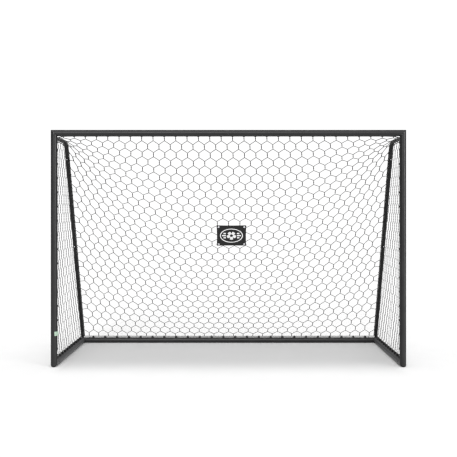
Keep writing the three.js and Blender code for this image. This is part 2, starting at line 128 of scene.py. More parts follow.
def add_camera():
    data = bpy.data.cameras.new("camera")
    data.lens = 56.53
    data.sensor_width = 36
    data.shift_x = -0.0107
    data.shift_y = -0.0295
    camera = put_in_scene("camera", data)
    camera.location = (0.0415, -6.633, 1.281)
    camera.rotation_euler = (math.radians(90), 0, 0)
    bpy.context.scene.camera = camera


add_camera()


# ---- Materials ----

class Finish:
    """A node material built round one Principled shader."""

    def __init__(self, name, roughness, metallic=0.0, specular=0.5, **sockets):
        self.material = bpy.data.materials.new(name)
        self.material.use_nodes = True
        self.tree = self.material.node_tree
        self.shader = self.tree.nodes["Principled BSDF"]
        self.plug(specular, self.shader.inputs["Specular IOR Level"])
        for socket, value in {"roughness": roughness, "metallic": metallic, **sockets}.items():
            self.plug(value, self.shader.inputs[socket.replace("_", " ").title()])
        where = self.node("TexCoord").outputs
        self.place, self.uv = where["Object"], where["UV"]

    def plug(self, source, socket):
        if isinstance(source, (int, float, tuple)):
            socket.default_value = source
        else:
            self.tree.links.new(source, socket)

    def node(self, kind, **inputs):
        node = self.tree.nodes.new("ShaderNode" + kind)
        for socket, source in inputs.items():
            self.plug(source, node.inputs[socket])
        return node

    def stretched(self, source, scale):
        return self.node("Mapping", Vector=source, Scale=scale).outputs["Vector"]

    def noise(self, scale, detail=4.0, rough=0.55, place=None):
        node = self.node("TexNoise", Scale=scale, Detail=detail, Roughness=rough)
        self.plug(place or self.place, node.inputs["Vector"])
        return node.outputs["Fac"]

    def cells(self, scale):
        return self.node("TexVoronoi", Vector=self.place, Scale=scale).outputs["Distance"]

    def wave(self, scale, place, direction="DIAGONAL"):
        node = self.node("TexWave", Vector=place, Scale=scale)
        node.bands_direction = direction
        return node.outputs["Fac"]

    def math(self, operation, first, second=0.0):
        node = self.node("Math")
        node.operation = operation
        self.plug(first, node.inputs[0])
        self.plug(second, node.inputs[1])
        return node.outputs["Value"]

    def times(self, first, second):
        return self.math("MULTIPLY", first, second)

    def span(self, source, low, high, to_low=0.0, to_high=1.0):
        limits = {"From Min": low, "From Max": high, "To Min": to_low, "To Max": to_high}
        node = self.node("MapRange", Value=source, **limits)
        node.interpolation_type = "SMOOTHSTEP"
        return node.outputs["Result"]

    def mix(self, share, first, second):
        node = self.node("Mix")
        node.data_type = "RGBA"
        for socket, source in (("Factor", share), (6, first), (7, second)):
            self.plug(source, node.inputs[socket])
        return node.outputs[2]

    def axis(self, source, name):
        return self.node("SeparateXYZ", Vector=source).outputs[name]

    def facing_up(self):
        normal = self.node("NewGeometry").outputs["Normal"]
        return self.span(self.axis(normal, "Z"), 0.3, 0.95)

    def colour(self, source):
        self.plug(source, self.shader.inputs["Base Color"])

    def roughness(self, source):
        self.plug(source, self.shader.inputs["Roughness"])

    def bump(self, height, depth, strength=1.0):
        """Height, from 0 to 1, stands for a relief of that depth in metres."""
        node = self.node("Bump", Height=height, Distance=depth, Strength=strength)
        before = self.shader.inputs["Normal"].links
        if before:
            self.plug(before[0].from_socket, node.inputs["Normal"])
        self.plug(node.outputs["Normal"], self.shader.inputs["Normal"])


def grey(value, tint=(1.0, 1.0, 1.0)):
    return tuple(value * t for t in tint) + (1.0,)


COOL = (1.0, 1.0, 1.04)


def powder_coat(name, shade):
    """Fine-textured satin powder coat, a little dusty on top, with faint rubbed marks."""
    coat = Finish(name, roughness=0.36, specular=0.26)
    clouds = coat.noise(7.0, detail=5.0)
    base = coat.mix(coat.span(clouds, 0.35, 0.68), grey(shade * 0.88, COOL), grey(shade * 1.14, COOL))
    dust = coat.times(coat.facing_up(), coat.span(coat.noise(26.0), 0.42, 0.75))
    dusty = coat.mix(coat.times(dust, 0.22), base, grey(0.17, (1.0, 0.98, 0.94)))
    streaks = coat.noise(60.0, detail=3.0, place=coat.stretched(coat.place, (0.12, 0.12, 1.6)))
    rubbed = coat.span(streaks, 0.70, 0.80)
    coat.colour(coat.mix(coat.times(rubbed, 0.30), dusty, grey(shade * 2.2, COOL)))
    coat.roughness(coat.span(clouds, 0.3, 0.7, 0.33, 0.43))
    coat.bump(coat.noise(700.0, detail=2.0), 0.00025, 0.6)
    coat.bump(coat.noise(110.0, detail=1.0), 0.00020, 0.35)
    return coat.material


def plated_steel(name, shade, grain=120.0):
    """Zinc-plated or stainless steel with faint spangle and fine rolling marks."""
    steel = Finish(name, roughness=0.3, metallic=1.0)
    spangle = steel.cells(grain)
    marks = steel.noise(700.0, detail=2.0, place=steel.stretched(steel.place, (1.0, 1.0, 0.08)))
    steel.colour(steel.mix(spangle, grey(shade * 0.86, COOL), grey(shade, COOL)))
    steel.roughness(steel.span(marks, 0.3, 0.7, 0.22, 0.40))
    steel.bump(marks, 0.00003, 0.5)
    return steel.material


def black_oxide(name):
    """Black-oxide steel of the screws, rubbed a little lighter in patches."""
    steel = Finish(name, roughness=0.4, metallic=0.5, specular=0.4)
    patches = steel.span(steel.noise(240.0, detail=4.0), 0.45, 0.75)
    steel.colour(steel.mix(patches, grey(0.022, COOL), grey(0.062, COOL)))
    steel.roughness(steel.span(patches, 0.0, 1.0, 0.46, 0.34))
    steel.bump(steel.noise(1400.0, detail=2.0), 0.00003, 0.6)
    return steel.material


def yarn_finish(name, shade, picks):
    """Braided or twisted polyester yarn. Its weave follows the yarn, through the UV map, and painted shade
    darkens the braid's grooves.
    """
    yarn = Finish(name, roughness=0.72, specular=0.22, sheen_weight=0.25, sheen_roughness=0.45)
    one_way = yarn.wave(picks, yarn.uv, "DIAGONAL")
    other_way = yarn.wave(picks, yarn.stretched(yarn.uv, (-1.0, 1.0, 1.0)), "DIAGONAL")
    braid_relief_and_shade = yarn.math("MAXIMUM", one_way, other_way)
    fade = yarn.noise(9.0, detail=3.0)
    yarn_tone = yarn.mix(yarn.span(fade, 0.35, 0.70), grey(shade * 0.8), grey(shade * 1.35, (1.0, 0.99, 0.97)))
    # Painted shade: the colour darkens where the braid's relief is low, in its grooves.
    yarn.colour(yarn.mix(yarn.span(braid_relief_and_shade, 0.3, 0.9, 0.65, 0.0), yarn_tone, grey(shade * 0.35)))
    yarn.bump(braid_relief_and_shade, 0.00035, 0.8)
    yarn.bump(yarn.noise(2600.0, detail=2.0), 0.00010, 0.5)
    return yarn.material


def moulded_nylon(name, dark=0.014, light=0.030, specular=0.4):
    """Black glass-filled nylon of the net clips: satin, with a fine moulded grain."""
    nylon = Finish(name, roughness=0.5, specular=specular)
    nylon.colour(nylon.mix(nylon.span(nylon.noise(35.0), 0.35, 0.7), grey(dark), grey(light, COOL)))
    nylon.roughness(nylon.span(nylon.noise(90.0), 0.3, 0.7, 0.42, 0.60))
    nylon.bump(nylon.noise(1800.0, detail=2.0), 0.00006, 0.6)
    return nylon.material


WEAVE_SCALE = 31.0


def woven_relief(cloth):
    """The over-and-under pattern of a plain weave, from the piece's UV map in metres."""
    place = cloth.stretched(cloth.uv, (20.0, 20.0, 1.0))
    return cloth.times(cloth.wave(WEAVE_SCALE, place, "X"), cloth.wave(WEAVE_SCALE, place, "Y"))


def banner_cloth(name):
    """Black coated polyester: fine plain weave with painted shade between its threads, a soft sheen, and
    patches of painted sheen that also vary the roughness.
    """
    cloth = Finish(name, roughness=0.5, specular=0.25, sheen_weight=0.08, sheen_roughness=0.5)
    weave = woven_relief(cloth)
    painted_sheen_patches = cloth.span(cloth.noise(22.0, detail=5.0, rough=0.6), 0.38, 0.70)
    # Painted sheen: lighter patches in the colour stand in for the cloth's sheen; the same patches vary the
    # roughness.
    base = cloth.mix(painted_sheen_patches, grey(0.007, COOL), grey(0.022, COOL))
    # Painted shade: the weave's low places are darker.
    cloth.colour(cloth.mix(cloth.times(weave, 0.5), grey(0.005), base))
    cloth.roughness(cloth.span(painted_sheen_patches, 0.0, 1.0, 0.42, 0.62))
    cloth.bump(weave, 0.00018, 0.6)
    return cloth.material


def printed_ink(name, shade):
    """Pale printing ink that shows the weave under it and thins out here and there."""
    ink = Finish(name, roughness=0.55, specular=0.3)
    weave = woven_relief(ink)
    thin = ink.span(ink.noise(180.0, detail=4.0), 0.60, 0.78)
    base = ink.mix(ink.span(ink.noise(18.0), 0.35, 0.7), grey(shade * 0.93), grey(shade))
    ink.colour(ink.mix(ink.times(thin, 0.45), base, grey(0.2)))
    ink.bump(weave, 0.00010, 0.4)
    return ink.material


def label_film(name):
    """Pale green plastic label film with a faint mottle and fine fibres."""
    film = Finish(name, roughness=0.42, specular=0.4, subsurface_weight=0.1)
    mottle = film.span(film.noise(130.0, detail=4.0), 0.35, 0.70)
    film.colour(film.mix(mottle, (0.29, 0.39, 0.295, 1.0), (0.37, 0.47, 0.36, 1.0)))
    fibres = film.noise(500.0, detail=2.0, place=film.stretched(film.place, (1.0, 1.0, 0.15)))
    film.bump(fibres, 0.00005, 0.5)
    return film.material


def floor_with_painted_shadow(name):
    """A plain pale floor, a little greyer inside the goal's footprint, where a shadow is painted."""
    paint = Finish(name, roughness=0.8, specular=0.1)
    x = paint.math("ABSOLUTE", paint.axis(paint.place, "X"))
    y = paint.axis(paint.place, "Y")
    between_bars = paint.span(x, POST_X - 0.10, POST_X + 0.06, 1.0, 0.0)
    before_rear = paint.span(y, REAR_Y - 0.06, REAR_Y + 0.16, 1.0, 0.0)
    behind_mouth = paint.span(y, -1.10, -0.10)
    # Painted shadow: this mask greys the floor's colour inside the goal's footprint.
    inside = paint.times(between_bars, paint.times(before_rear, behind_mouth))
    grain = paint.span(paint.noise(3.0, detail=2.0), 0.3, 0.7, 0.985, 1.0)
    shade = paint.times(grain, paint.span(inside, 0.0, 1.0, 0.93, 0.62))
    paint.colour(paint.node("CombineColor", Red=shade, Green=shade, Blue=shade).outputs["Color"])
    return paint.material


FRAME_COAT = powder_coat("frame powder coat", 0.014)
# Painted shade: the stays get a darker copy of the frame's powder coat.
SHADED_STAY_COAT = powder_coat("stay powder coat with painted shade", 0.006)
# Painted light: the ground bars get a lighter copy of the frame's powder coat.
PAINTED_LIGHT_GROUND_COAT = powder_coat("ground powder coat with painted light", 0.056)
ZINC = plated_steel("zinc plate", 0.62)
STAINLESS = plated_steel("stainless steel", 0.86, 400.0)
OXIDE = black_oxide("black oxide")
NET_YARN = yarn_finish("net yarn", 0.045, 1.0)
ROPE_YARN = yarn_finish("edge rope", 0.040, 1.5)
LACE_YARN = yarn_finish("lacing cord", 0.020, 1.2)
CLIP_NYLON = moulded_nylon("clip nylon")
# Painted shade: the ground bars' clips get a darker, duller copy of the clip nylon.
SHADED_GROUND_CLIP_NYLON = moulded_nylon("ground clip nylon with painted shade", dark=0.003, light=0.007, specular=0.15)
CLOTH = banner_cloth("banner cloth")
INK = printed_ink("printed ink", 0.66)
THREAD = yarn_finish("sewing thread", 0.05, 1.0)
LABEL = label_film("label film")


# ---- Smooth shading and materials of the CAD nodes ----

SHARP_FROM = math.radians(35)
WELD_WITHIN = 0.00002


def smooth_by_angle():
    """A modifier's nodes: smooth shading, except at edges sharper than SHARP_FROM."""
    group = bpy.data.node_groups.new("smooth by angle", "GeometryNodeTree")
    for way in ("INPUT", "OUTPUT"):
        group.interface.new_socket("Geometry", in_out=way, socket_type="NodeSocketGeometry")
    entry, result, angle, compare, faces, edges = map(group.nodes.new, (
        "NodeGroupInput", "NodeGroupOutput", "GeometryNodeInputMeshEdgeAngle",
        "FunctionNodeCompare", "GeometryNodeSetShadeSmooth", "GeometryNodeSetShadeSmooth"))
    compare.data_type = "FLOAT"
    compare.operation = "GREATER_THAN"
    compare.inputs["B"].default_value = SHARP_FROM
    for node, domain, smooth in ((faces, "FACE", True), (edges, "EDGE", False)):
        node.domain = domain
        node.inputs["Shade Smooth"].default_value = smooth
    for source, socket in (
        (entry.outputs[0], faces.inputs["Geometry"]),
        (faces.outputs["Geometry"], edges.inputs["Geometry"]),
        (angle.outputs["Unsigned Angle"], compare.inputs["A"]),
        (compare.outputs["Result"], edges.inputs["Selection"]),
        (edges.outputs["Geometry"], result.inputs[0]),
    ):
        group.links.new(source, socket)
    return group


def dress_cad_nodes():
    smoothing = smooth_by_angle()
    finishes = (
        ("screw", OXIDE), ("connector", ZINC), ("splice", ZINC),
        ("button", STAINLESS), ("spring", STAINLESS), ("eyelet", STAINLESS),
        ("stay_middle", SHADED_STAY_COAT), ("stay_lower", SHADED_STAY_COAT), ("ground_bar", PAINTED_LIGHT_GROUND_COAT),
    )
    for name, node in frame["nodes"].items():
        node.data.materials[0] = next((made for word, made in finishes if word in name), FRAME_COAT)
        for attribute in ("custom_normal", "sharp_edge", "sharp_face"):
            if attribute in node.data.attributes:
                node.data.attributes.remove(node.data.attributes[attribute])
        node.modifiers.new("weld", "WELD").merge_threshold = WELD_WITHIN
        node.modifiers.new("smooth", "NODES").node_group = smoothing


dress_cad_nodes()


# ---- Mesh tools ----

def unit(vectors):
    return vectors / np.maximum(np.linalg.norm(vectors, axis=-1, keepdims=True), 1e-12)


def travel_along(line):
    """How far along a polyline each of its points lies."""
    return np.concatenate([[0], np.cumsum(np.linalg.norm(np.diff(line, axis=0), axis=1))])


def full_turn(count):
    return np.linspace(0, 2 * np.pi, count, endpoint=False)


def arc(centre, radius, start, stop, count):
    return [
        (centre[0] + radius * math.cos(a), centre[1] + radius * math.sin(a))
        for a in np.linspace(start, stop, count)
    ]


def ring_faces(rings, size):
    """Faces of a closed solid whose rings of points follow each other."""
    faces = [
        (k * size + s, k * size + (s + 1) % size, (k + 1) * size + (s + 1) % size, (k + 1) * size + s)
        for k in range(rings - 1) for s in range(size)
    ]
    last = (rings - 1) * size
    return faces + [tuple(range(size - 1, -1, -1)), tuple(range(last, last + size))]


def add_piece(name, vertices, faces, finish, uv=None, replaces=(), rides=True):
    mesh = bpy.data.meshes.new(name)
    mesh.from_pydata([tuple(v) for v in vertices], [], faces)
    mesh.polygons.foreach_set("use_smooth", np.ones(len(mesh.polygons), bool))
    if uv is not None:
        mesh.uv_layers.new(name="UVMap").data.foreach_set("uv", np.asarray(uv, np.float32).ravel())
    mesh.materials.append(finish)
    mesh.update()
    piece = put_in_scene(name, mesh)
    if rides:
        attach(piece, "root")
    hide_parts(*replaces)
    return piece


class Cords:
    """Round cords along paths, for one mesh. UV u runs along them, in radii, and v round them."""

    def __init__(self, radius, sides):
        self.radius = radius
        self.angles = full_turn(sides)
        self.vertices, self.faces, self.uv, self.count = [], [], [], 0

    def add(self, path, outward, closed=False, strands=0, lay=0.0):
        """Outward is across the cord at each point. A rope shows its strands, one turn per lay."""
        path = np.asarray(path, float)
        outward = np.broadcast_to(np.asarray(outward, float), path.shape)
        if closed:
            along = np.roll(path, -1, axis=0) - np.roll(path, 1, axis=0)
        else:
            along = np.gradient(path, axis=0)
        side = unit(np.cross(unit(along), outward))
        normal = np.cross(side, unit(along))
        travel = travel_along(path)
        radius = np.full((len(path), len(self.angles)), self.radius)
        if strands:
            phase = strands * (self.angles[None, :] - 2 * np.pi * travel[:, None] / lay)
            radius *= 0.93 + 0.13 * np.abs(np.cos(phase / 2))
        ring = (np.cos(self.angles)[None, :, None] * side[:, None, :]
                + np.sin(self.angles)[None, :, None] * normal[:, None, :])
        self.vertices.append((path[:, None, :] + radius[..., None] * ring).reshape(-1, 3))
        self._skin(len(path), travel / self.radius, closed)

    def _skin(self, length, travel, closed):
        sides = len(self.angles)
        if closed:
            travel = np.append(travel, travel[-1] + travel[1])
        for k in range(length if closed else length - 1):
            here = self.count + k * sides
            there = self.count + (k + 1) % length * sides
            for s in range(sides):
                t = (s + 1) % sides
                self.faces.append((here + s, there + s, there + t, here + t))
                low, high = s / sides, (s + 1) / sides
                self.uv += [travel[k], low, travel[k + 1], low, travel[k + 1], high, travel[k], high]
        if not closed:
            last = self.count + (length - 1) * sides
            self.faces.append(tuple(range(self.count, self.count + sides)))
            self.faces.append(tuple(range(last + sides - 1, last - 1, -1)))
            self.uv += [0.0, 0.0] * (2 * sides)
        self.count += length * sides

    def piece(self, name, finish, slot, replaces=()):
        vertices = np.concatenate(self.vertices)
        return add_piece(name, vertices, self.faces, finish, self.uv, replaces)


def resample(line, count):
    """Points at even distances along a polyline."""
    travel = travel_along(line)
    wanted = np.linspace(0, travel[-1], count)
    return np.stack([np.interp(wanted, travel, column) for column in line.T], axis=1)


def stay_line(start_y, end_z, offset=0.0):
    """The stay's line as (y, z) points: level, knee and slope, moved into the goal by the offset."""
    turn = math.acos(slope.y)
    lead = KNEE_BEND_R * math.tan(turn / 2)
    bend = [
        (KNEE_Y - lead + (KNEE_BEND_R - offset) * math.sin(a),
         KNEE_Z - KNEE_BEND_R + (KNEE_BEND_R - offset) * math.cos(a))
        for a in np.linspace(0, turn, 24)
    ]
    foot_y = bend[-1][0] + slope.y / slope.z * (end_z - bend[-1][1])
    return np.array([(start_y, KNEE_Z - offset), *bend, (foot_y, end_z)])


# ---- Back net ----

CORD_STIFFNESS = 16000.0
CORD_SLACK_STIFFNESS = 80.0
PULL_FORWARD = math.radians(80)
RELAX_STEPS = 2200
RELAX_KICK, RELAX_DAMPING, RELAX_STEP = 0.004, 0.985, 0.01
BANNER_CLEAR, BANNER_MARGIN, BANNER_PUSHES = 0.0035, 0.02, 0.1
FIRST_SAG = 0.165
SIDE_PULL_POWER = 2.2
TOP_CORNER_POWER = 50
TOP_SHIFT, FOOT_SHIFT = -0.015, -0.008


top_left, top_right, low_left, low_right = (middle(f"banner_eyelet_{k}") for k in (1, 2, 3, 4))
banner_centre = np.array((top_left + top_right + low_left + low_right) / 4)
to_right, to_top = (top_right - top_left).normalized(), (top_left - low_left).normalized()
banner_right, banner_up, banner_out = map(np.array, (to_right, to_top, to_right.cross(to_top)))
EYELET_X = (top_right - top_left).length / 2
EYELET_Y = (top_left - low_left).length / 2
EYELETS = [(x, y) for x in (-EYELET_X, EYELET_X) for y in (-EYELET_Y, EYELET_Y)]
EYELET_INSET = 0.016
BANNER_W = 2 * (EYELET_X + EYELET_INSET)
BANNER_H = 2 * (EYELET_Y + EYELET_INSET)


def behind_banner(points):
    """Pushes points that would touch the banner behind it."""
    local = points - banner_centre
    x, y, z = (local @ axis for axis in (banner_right, banner_up, banner_out))
    beside = (abs(x) < BANNER_W / 2 + BANNER_MARGIN) & (abs(y) < BANNER_H / 2 + BANNER_MARGIN)
    over = beside & (z > -BANNER_CLEAR) & (z < BANNER_PUSHES)
    points[over] -= np.outer(z[over] + BANNER_CLEAR, banner_out)


def relax(points, free, first, second, length):
    """Lets a net of cords that hardly stretch come to rest under a small steady load."""
    speed = np.zeros_like(points)
    load = np.array([0, -math.sin(PULL_FORWARD), -math.cos(PULL_FORWARD)])
    count = len(points)
    for _ in range(RELAX_STEPS):
        along = points[second] - points[first]
        now = np.linalg.norm(along, axis=1)
        stretch = now - length
        pull = np.where(stretch > 0, CORD_STIFFNESS, CORD_SLACK_STIFFNESS) * stretch / now
        force = np.stack([
            np.bincount(first, part, count) - np.bincount(second, part, count) for part in pull * along.T
        ], axis=1) + load
        speed = (speed + RELAX_KICK * force * free) * RELAX_DAMPING
        points = points + RELAX_STEP * speed * free
        behind_banner(points)
    return points


def back_lattice():
    """The knots of the back net as an array (row, half column, xyz), settled between its ropes."""
    rows, places = NET_ROWS + 1, 2 * NET_COLUMNS + 1
    half = POST_X - BACK_ROPE_FROM_STAY
    top = np.array([FRONT_Y + TOP_ROPE_BEHIND, CROSSBAR_Z - TOP_ROPE_BELOW])
    foot = np.array([REAR_Y - REAR_ROPE_BEFORE, GROUND_Z + ROPE_FROM_AXIS - 0.0005])
    at_stay = resample(stay_line(FRONT_Y + TOP_ROPE_BEHIND, foot[1]), rows)
    across = np.linspace(-1, 1, places)
    down = np.linspace(0, 1, rows)
    below = np.array([foot[1] - top[1], top[0] - foot[0]])
    below /= np.linalg.norm(below)
    sag = FIRST_SAG * 4 * down * (1 - down)
    centre = top + np.outer(down, foot - top) + np.outer(sag, below)
    side_share = np.repeat(np.abs(across)[None, :, None] ** SIDE_PULL_POWER, rows, axis=0)
    side_share[0] = np.abs(across)[:, None] ** TOP_CORNER_POWER
    profile = centre[:, None, :] * (1 - side_share) + at_stay[:, None, :] * side_share
    lattice = np.empty((rows, places, 3))
    shift = TOP_SHIFT + (FOOT_SHIFT - TOP_SHIFT) * down
    lattice[..., 0] = across * half + np.outer(shift, 1 - across ** 2)
    lattice[..., 1:] = profile
    index = np.arange(rows * places).reshape(rows, places)
    slanted = np.stack([index[:, :-1].ravel(), index[:, 1:].ravel()])
    meet = (np.add.outer(np.arange(rows - 1), np.arange(places)) % 2) == 1
    upright = np.stack([index[:-1][meet], index[1:][meet]])
    first, second = np.concatenate([slanted, upright], axis=1)
    length = np.repeat((SLANT_LENGTH, UPRIGHT_LENGTH), (slanted.shape[1], upright.shape[1]))
    free = np.zeros((rows, places, 1))
    free[1:-1, 1:-1] = 1.0
    settled = relax(lattice.reshape(-1, 3), free.reshape(-1, 1), first, second, length)
    return settled.reshape(rows, places, 3)


def lattice_normals(lattice):
    """Directions square to the net, into the goal."""
    down = np.gradient(lattice, axis=0)
    across = np.gradient(lattice, axis=1)
    return unit(np.cross(down, across))


UPRIGHT_STEPS = np.linspace(0, 1, 6)
SLANT_STEPS = np.array([1, 2]) / 3


def yarn_path(lattice, normals, left, twist_r):
    """One yarn, which zigzags down the net between two neighbouring columns of uprights."""
    last_column = lattice.shape[1] - 1
    path, outward = [], []
    for row in range(lattice.shape[0] - 1):
        column = left if (row + left) % 2 == 1 else left + 1
        other = 2 * left + 1 - column
        top, foot = lattice[row, column], lattice[row + 1, column]
        aside = unit(lattice[row + 1, other] - foot)
        out = normals[row, column]
        out_here = out if column == left else -out
        twist = twist_r if 0 < column < last_column else 0.0
        for t in UPRIGHT_STEPS:
            turn = 2 * np.pi * t
            path.append(top + (foot - top) * t + twist * (np.cos(turn) * aside + np.sin(turn) * out_here))
            outward.append(out)
        for t in SLANT_STEPS:
            path.append(foot + (lattice[row + 1, other] - foot) * t)
            outward.append(out)
    cut = len(SLANT_STEPS)
    return np.array(path[:-cut]), np.array(outward[:-cut])


def add_edge_rope(name, radius, points, outward):
    rope = Cords(radius, 10)
    rope.add(points, outward, closed=True, strands=3, lay=ROPE_LAY)
    rope.piece(name, ROPE_YARN, "net")


def add_back_net():
    lattice = back_lattice()
    normals = lattice_normals(lattice)
    yarns = Cords(YARN_R, 6)
    for left in range(2 * NET_COLUMNS):
        yarns.add(*yarn_path(lattice, normals, left, YARN_TWIST_R))
    yarns.piece("back_net_mesh", NET_YARN, "net", ["back_net"])

    rim = [lattice[0], lattice[1:, -1], lattice[-1, -2::-1], lattice[-2::-1, 0]]
    points = resample(np.concatenate(rim), 1900)[:-1]
    add_edge_rope("back_net_edge_rope", ROPE_R, points, unit(points - points.mean(axis=0)))
    return lattice


back_knots = add_back_net()


# ---- Side nets ----

SIDE_SLACK = 0.003
SIDE_WAVE = 0.005
POST_CLIP_TURN = math.radians(30)
BORDER_REACH, SLACK_REACH, CORNER_REACH = 0.12, 0.1, 0.03


def side_outline():
    """The line of a side net's edge rope in the plane of the side, as (y, z) points."""
    front = FRONT_Y + ROPE_FROM_AXIS * math.cos(POST_CLIP_TURN)
    low = GROUND_Z + ROPE_FROM_AXIS
    stay = stay_line(front, low, SIDE_ROPE_FROM_STAY)
    return np.concatenate([stay, [(front, low)]])


def clip_to(path, outline):
    """The share of a path inside a convex outline, cut where it crosses the outline."""
    following = np.roll(outline, -1, axis=0)
    edge = following - outline
    inward = unit(np.stack([edge[:, 1], -edge[:, 0]], axis=1))
    depth = ((path[:, None, :] - outline[None]) * inward[None]).sum(axis=2).min(axis=1)
    inside = np.flatnonzero(depth > 0)
    if len(inside) < 2:
        return None
    first, last = inside[0], inside[-1]

    def crossing(here, beyond):
        share = depth[here] / (depth[here] - depth[beyond])
        return [path[here] + (path[beyond] - path[here]) * share]

    kept = path[first:last + 1]
    if first > 0:
        kept = np.concatenate([crossing(first, first - 1), kept])
    if last < len(path) - 1:
        kept = np.concatenate([kept, crossing(last, last + 1)])
    return kept


def fade(distance, reach):
    """1 at a border and outside it, and less and less with the distance from it."""
    return np.exp(-np.maximum(distance, 0) / reach)


def side_place(flat, sign, outline):
    """Puts (y, z) points of a side net in the goal: a little outward beside the stay, and inward
    beside the post, where the post's clips hold it."""
    y, z = flat[:, 0], flat[:, 1]
    along = (y - KNEE_Y) * slope.y + (z - KNEE_Z) * slope.z
    reach = (y - KNEE_Y) * into_goal.y + (z - KNEE_Z) * into_goal.z
    from_slope = np.where(along > 0, reach, KNEE_Z - z) - SIDE_ROPE_FROM_STAY
    from_top = KNEE_Z - z - SIDE_ROPE_FROM_STAY
    near = fade(np.minimum(from_slope, from_top), BORDER_REACH)
    front, low = outline.min(axis=0)
    edge = np.minimum.reduce([z - low, y - front, np.maximum(from_slope, 0)])
    loose = SIDE_SLACK * (1 - fade(edge, SLACK_REACH)) * np.sin(9 * y + 2.3 * sign) * np.cos(4.7 * z)
    clear = np.minimum(z - low, np.maximum(from_top, 0))
    by_post = fade(y - front, BORDER_REACH) * (1 - fade(clear, CORNER_REACH))
    inward = ROPE_FROM_AXIS * math.sin(POST_CLIP_TURN) * by_post
    x = sign * (POST_X + SIDE_ROPE_OUTWARD * near - inward) + loose
    return np.stack([x, y, z], axis=1)


def side_lattice(outline):
    """A regular hexagonal lattice over the side's box, as an array (row, half column, yz)."""
    front, low = outline.min(axis=0)
    rear, high = outline.max(axis=0)
    places = math.ceil((rear - front) / SIDE_COLUMN) + 2
    rows = math.ceil((high - low) / SIDE_ROW) + 2
    row, place = np.indices((rows, places))
    rise = SIDE_ROW - SIDE_UPRIGHT
    drop = np.where((row + place) % 2 == 1, rise / 2, -rise / 2)
    y = front + (place - 0.5) * SIDE_COLUMN
    z = high + 0.02 - row * SIDE_ROW - drop
    wave_y = SIDE_WAVE * np.sin(4.1 * z + 1.2 * y) * np.cos(2.0 * y)
    wave_z = SIDE_WAVE * np.sin(3.3 * y + 0.8 * z)
    return np.stack([y + wave_y, z + wave_z], axis=2)


def add_side_net(side, sign):
    outline = side_outline()
    flat = side_lattice(outline)
    lattice = np.concatenate([np.zeros_like(flat[..., :1]), flat], axis=2)
    outward = np.array([1.0, 0, 0])
    normals = np.broadcast_to(outward, lattice.shape)
    yarns = Cords(SIDE_YARN_R, 6)
    for left in range(lattice.shape[1] - 1):
        path, _ = yarn_path(lattice, normals, left, SIDE_YARN_R)
        kept = clip_to(path[:, 1:], outline)
        if kept is None:
            continue
        placed = side_place(kept, sign, outline)
        placed[:, 0] += np.interp(kept[:, 1], path[::-1, 2], path[::-1, 0])
        yarns.add(placed, outward)
    yarns.piece(f"{side}_side_net_mesh", NET_YARN, "net", [f"{side}_side_net"])

    rim = resample(np.concatenate([outline, outline[:1]]), 1100)[:-1]
    add_edge_rope(f"{side}_side_net_edge_rope", SIDE_ROPE_R, side_place(rim, sign, outline), outward)


for side, sign in SIDES:
    add_side_net(side, sign)


# ---- Lacing round the stays ----

def wrap_radius(angles):
    """How far a taut loop runs from the stay's axis when it also takes in both edge ropes. Angle 0
    points to the goal's middle, and a quarter turn points into the goal, square to the tube."""
    circles = [
        (0.0, 0.0, STAY_R + LACE_R + LACE_GAP),
        (BACK_ROPE_FROM_STAY, 0.0, ROPE_R + LACE_R + LACE_GAP),
        (-SIDE_ROPE_OUTWARD, SIDE_ROPE_FROM_STAY, SIDE_ROPE_R + LACE_R + LACE_GAP),
    ]
    lines = full_turn(360)
    support = np.max([x * np.cos(lines) + y * np.sin(lines) + r for x, y, r in circles], axis=0)
    facing = np.cos(np.subtract.outer(angles, lines))
    return np.where(facing > 0.05, support / np.maximum(facing, 0.05), np.inf).min(axis=1)


def add_lacing(side, sign):
    start_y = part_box(f"{side}_stay_bracket")[0].y + LACE_FROM_BRACKET
    line = resample(stay_line(start_y, GROUND_Z + LACE_ABOVE_GROUND_BAR), 1400)
    travel = travel_along(line)
    along = unit(np.gradient(line, axis=0))
    inward = np.stack([along[:, 1], -along[:, 0]], axis=1)
    buttons = []
    for level in LEVELS:
        place = middle(f"{side}_{level}_snap_button")
        buttons.append(travel[np.argmin(np.hypot(line[:, 0] - place.y, line[:, 1] - place.z))])
    pitch = (buttons[1] - buttons[0]) / LACE_TURNS_BETWEEN_BUTTONS
    angle = 2 * np.pi * ((travel - buttons[0]) / pitch + 0.75)
    reach = wrap_radius(np.mod(angle, 2 * np.pi))
    across, into = reach * np.cos(angle), reach * np.sin(angle)
    axis_points = np.column_stack([np.full(len(line), sign * POST_X), line])
    points = axis_points + np.column_stack([-sign * across, into[:, None] * inward])
    lace = Cords(LACE_R, 8)
    lace.add(points, unit(points - axis_points))
    lace.piece(f"{side}_stay_lacing", LACE_YARN, "net")


for side, sign in SIDES:
    add_lacing(side, sign)


# ---- Net clips ----

CLIP_LENGTH = 0.026
HOOK_LENGTH = 0.018
CLIP_WALL = 0.0026
SADDLE_HALF_ANGLE = math.radians(26)
HOOK_STARTS, HOOK_ENDS = 0.15, math.radians(232)
CLIP_GAP = 0.0004
HOOK_R = ROPE_R + CLIP_WALL / 2 + CLIP_GAP
RIVET_R = 0.0030
RIVET_H = 0.0013
RIVET_AT = 0.0095


